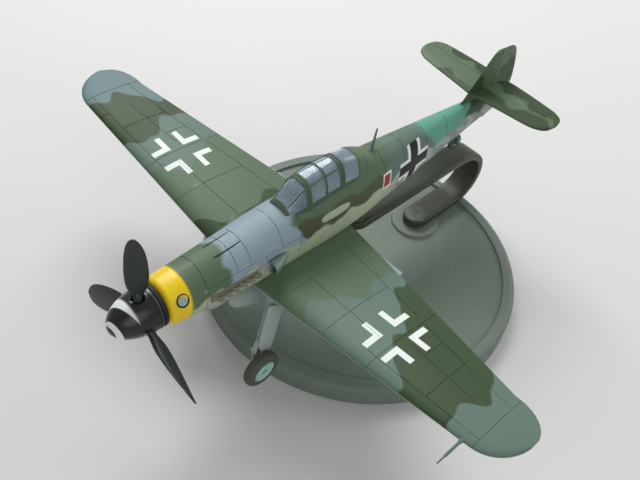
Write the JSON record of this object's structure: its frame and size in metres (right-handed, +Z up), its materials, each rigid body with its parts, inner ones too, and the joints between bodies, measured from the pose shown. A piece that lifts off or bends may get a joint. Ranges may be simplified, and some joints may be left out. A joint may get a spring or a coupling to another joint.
{
  "type": "scale model propeller plane",
  "caption": "Die-cast scale model of a single-engine low-wing propeller fighter with pull-off legs, tank and propeller, on a round display stand with a curved arm.",
  "frame": {"origin": "centre of the underside of the round stand, on the table", "axes": "+Z up, the aircraft points along -Y, its port wing along +X"},
  "size_m": [0.1376, 0.1271, 0.0587],
  "materials": {
    "upper_camo": "satin two-tone green camouflage paint",
    "under_pale": "satin pale blue-grey paint",
    "nose_yellow": "satin yellow paint",
    "propeller_black": "satin black-green",
    "spinner_black": "satin black with a white spiral",
    "tyre_rubber": "matte dark rubber",
    "hub_green": "satin grey-green",
    "steel_pin": "turned steel",
    "clear_canopy": "clear styrene with painted frames",
    "cockpit_grey": "matt dark grey",
    "seat_brown": "matt brown",
    "exhaust_brown": "matt burnt metal paint",
    "trim_green": "satin grey-green trim paint",
    "stand_plastic": "satin dark grey-green moulded plastic",
    "cover_black": "fine textured black plastic"
  },
  "bodies": {
    "stand": {"stand_base": "stand_plastic", "stand_base_cover": "cover_black"},
    "arm": {"stand_arm": "stand_plastic", "stand_peg": "stand_plastic"},
    "airframe": {"fuselage_port": "upper_camo", "fuselage_starboard": "upper_camo", "wing_upper_port": "upper_camo", "wing_upper_starboard": "upper_camo", "fin": "upper_camo", "rudder": "upper_camo", "tailplane_port": "upper_camo", "tailplane_starboard": "upper_camo", "wing_lower": "under_pale", "radiator_port": "under_pale", "radiator_starboard": "under_pale", "oil_cooler": "under_pale", "tank_rack": "under_pale", "nose_cowl_ring": "nose_yellow", "wing_screw_front": "steel_pin", "wing_screw_rear": "steel_pin", "windscreen": "clear_canopy", "canopy_hood": "clear_canopy", "rear_glazing": "clear_canopy", "cockpit_tub": "cockpit_grey", "head_armour": "cockpit_grey", "instrument_panel": "cockpit_grey", "gunsight": "cockpit_grey", "control_stick": "cockpit_grey", "peg_socket": "cockpit_grey", "pilot_seat": "seat_brown", "exhaust_port": "exhaust_brown", "exhaust_starboard": "exhaust_brown", "supercharger_intake": "trim_green", "antenna_mast": "trim_green", "pitot_tube": "trim_green", "tail_fork": "trim_green"},
    "prop_cartridge": {"nose_bush": "steel_pin"},
    "propeller": {"spinner": "spinner_black", "spinner_backplate": "spinner_black", "prop_shaft": "steel_pin", "shaft_collar": "steel_pin", "prop_blade_1": "propeller_black", "prop_blade_2": "propeller_black", "prop_blade_3": "propeller_black"},
    "leg_port": {"gear_leg_port": "under_pale", "gear_door_port": "under_pale"},
    "wheel_port": {"wheel_hub_port": "hub_green", "tyre_port": "tyre_rubber"},
    "leg_starboard": {"gear_leg_starboard": "under_pale", "gear_door_starboard": "under_pale"},
    "wheel_starboard": {"wheel_hub_starboard": "hub_green", "tyre_starboard": "tyre_rubber"},
    "tail_wheel": {"tail_tyre": "tyre_rubber"},
    "tank": {"drop_tank": "under_pale"}
  },
  "joints": [
    {"name": "arm_lift", "type": "slide", "parent": "stand", "child": "arm", "axis": [0, 0, 1], "range_m": [0, 0.01]},
    {"name": "plane_lift", "type": "slide", "parent": "arm", "child": "airframe", "axis": [0, 0, 1], "range_m": [0, 0.03]},
    {"name": "prop_pull", "type": "slide", "parent": "airframe", "child": "prop_cartridge", "axis": [0, -1, 0], "range_m": [0, 0.012]},
    {"name": "prop_spin", "type": "hinge", "parent": "prop_cartridge", "child": "propeller", "pos_m": [0, -0.0702, 0.038], "axis": [0, 1, 0], "continuous": true},
    {"name": "leg_port_pull", "type": "slide", "parent": "airframe", "child": "leg_port", "axis": [0.2657, -0.496, -0.8267], "range_m": [0, 0.005]},
    {"name": "wheel_port_spin", "type": "hinge", "parent": "leg_port", "child": "wheel_port", "pos_m": [0.0143, -0.049, 0.0156], "axis": [1, 0, 0], "continuous": true},
    {"name": "leg_starboard_pull", "type": "slide", "parent": "airframe", "child": "leg_starboard", "axis": [-0.2657, -0.496, -0.8267], "range_m": [0, 0.005]},
    {"name": "wheel_starboard_spin", "type": "hinge", "parent": "leg_starboard", "child": "wheel_starboard", "pos_m": [-0.0143, -0.049, 0.0156], "axis": [1, 0, 0], "continuous": true},
    {"name": "tail_wheel_spin", "type": "hinge", "parent": "airframe", "child": "tail_wheel", "pos_m": [0, 0.0305, 0.0307], "axis": [1, 0, 0], "continuous": true},
    {"name": "tank_pull", "type": "slide", "parent": "airframe", "child": "tank", "axis": [0, 0, -1], "range_m": [0, 0.005]}
  ]
}
